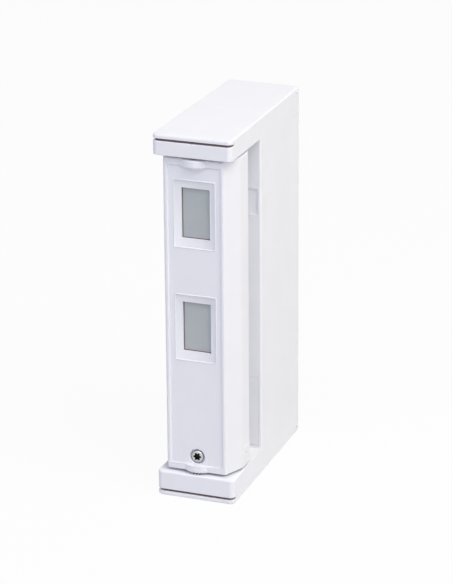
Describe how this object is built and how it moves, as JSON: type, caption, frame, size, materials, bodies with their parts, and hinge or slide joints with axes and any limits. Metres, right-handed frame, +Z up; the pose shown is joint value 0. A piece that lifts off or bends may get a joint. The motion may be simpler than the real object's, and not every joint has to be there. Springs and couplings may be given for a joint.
{
  "type": "outdoor pir motion detector",
  "caption": "Slim white outdoor PIR motion detector: a sensor head with stacked lens windows swivels between two arms in front of a deep battery box on a wall plate.",
  "frame": {"origin": "centre of the two wall screw slots, on the wall plate's back face", "axes": "+Z up along the unit's height, +Y into the wall, so the lens windows face -Y; X across the width"},
  "size_m": [0.0378, 0.0967, 0.175],
  "materials": {
    "white_plastic": "fine satin white, UV-stable ASA moulding",
    "dark_rubber": "soft dark brown-grey rubber",
    "steel": "stainless steel, lightly polished",
    "circuit_board": "green solder mask on glass-fibre board",
    "green_plastic": "matte green moulded plastic",
    "brass": "plain brass",
    "soft_white_plastic": "natural white acetal",
    "lead_jacket": "light grey cable jacket",
    "black_plastic": "black moulded plastic",
    "cell_wrap": "plain shrink sleeve",
    "led_epoxy": "diffused pale epoxy",
    "red_plastic": "red moulded plastic",
    "grey_lens": "translucent grey polyethylene lens sheet, satin"
  },
  "bodies": {
    "housing": {"front_housing": "white_plastic", "back_box": "white_plastic", "wall_plate": "white_plastic", "top_front_cap": "white_plastic", "top_rear_cap": "white_plastic", "bottom_front_cap": "white_plastic", "bottom_rear_cap": "white_plastic", "cap_seals": "dark_rubber", "box_seal": "dark_rubber", "housing_screws": "steel", "plate_screws": "steel", "spine_hatch": "white_plastic", "hatch_screws": "steel", "main_board": "circuit_board", "main_board_screws": "steel", "terminal_block": "green_plastic", "terminal_screws": "brass", "main_plug": "soft_white_plastic", "head_lead": "lead_jacket", "radio_board": "circuit_board", "radio_shield": "steel", "radio_leads": "black_plastic", "battery_holder": "black_plastic", "batteries": "cell_wrap", "battery_contacts": "steel", "battery_leads": "black_plastic", "cable_grommet": "dark_rubber", "wall_tamper_body": "black_plastic", "wall_tamper_spring": "steel", "upper_shaft": "soft_white_plastic", "lower_shaft": "soft_white_plastic", "swivel_washers": "dark_rubber", "index_plate": "brass", "shaft_clip": "steel"},
    "head": {"head_chassis": "white_plastic", "swivel_base": "white_plastic", "click_spring": "steel", "sensor_board": "circuit_board", "board_screws": "steel", "upper_pyro": "steel", "lower_pyro": "steel", "status_led": "led_epoxy", "sensor_plug": "soft_white_plastic", "dip_body": "red_plastic", "cover_tamper_body": "black_plastic", "cover_tamper_spring": "steel"},
    "cover": {"head_cover": "white_plastic", "upper_lens": "grey_lens", "lower_lens": "grey_lens", "lens_retainers": "black_plastic", "cover_screw": "steel", "screw_ring": "dark_rubber", "cover_seals": "dark_rubber"},
    "wall_plunger": {"wall_tamper_plunger": "soft_white_plastic"},
    "cover_plunger": {"cover_tamper_plunger": "soft_white_plastic"},
    "dip_1": {"dip_slider_1": "soft_white_plastic"},
    "dip_2": {"dip_slider_2": "soft_white_plastic"},
    "dip_3": {"dip_slider_3": "soft_white_plastic"},
    "dip_4": {"dip_slider_4": "soft_white_plastic"}
  },
  "joints": [
    {"name": "head_swivel", "type": "hinge", "parent": "housing", "child": "head", "pos_m": [0, -0.07965, 0], "axis": [0, 0, 1], "range_deg": [-90, 90], "deforming": ["click_spring"]},
    {"name": "cover_lift", "type": "slide", "parent": "head", "child": "cover", "axis": [0, -1, 0], "range_m": [0, 0.04]},
    {"name": "wall_tamper_press", "type": "slide", "parent": "housing", "child": "wall_plunger", "axis": [0, -1, 0], "range_m": [0, 0.0015], "stiffness_N_per_m": 300, "springref_m": -0.001, "deforming": ["wall_tamper_spring"]},
    {"name": "cover_tamper_press", "type": "slide", "parent": "head", "child": "cover_plunger", "axis": [0, 1, 0], "range_m": [0, 0.0012], "stiffness_N_per_m": 300, "springref_m": -0.001, "deforming": ["cover_tamper_spring"]},
    {"name": "dip_1_slide", "type": "slide", "parent": "head", "child": "dip_1", "axis": [0, 0, 1], "range_m": [0, 0.002]},
    {"name": "dip_2_slide", "type": "slide", "parent": "head", "child": "dip_2", "axis": [0, 0, 1], "range_m": [0, 0.002]},
    {"name": "dip_3_slide", "type": "slide", "parent": "head", "child": "dip_3", "axis": [0, 0, 1], "range_m": [0, 0.002]},
    {"name": "dip_4_slide", "type": "slide", "parent": "head", "child": "dip_4", "axis": [0, 0, 1], "range_m": [0, 0.002]}
  ]
}
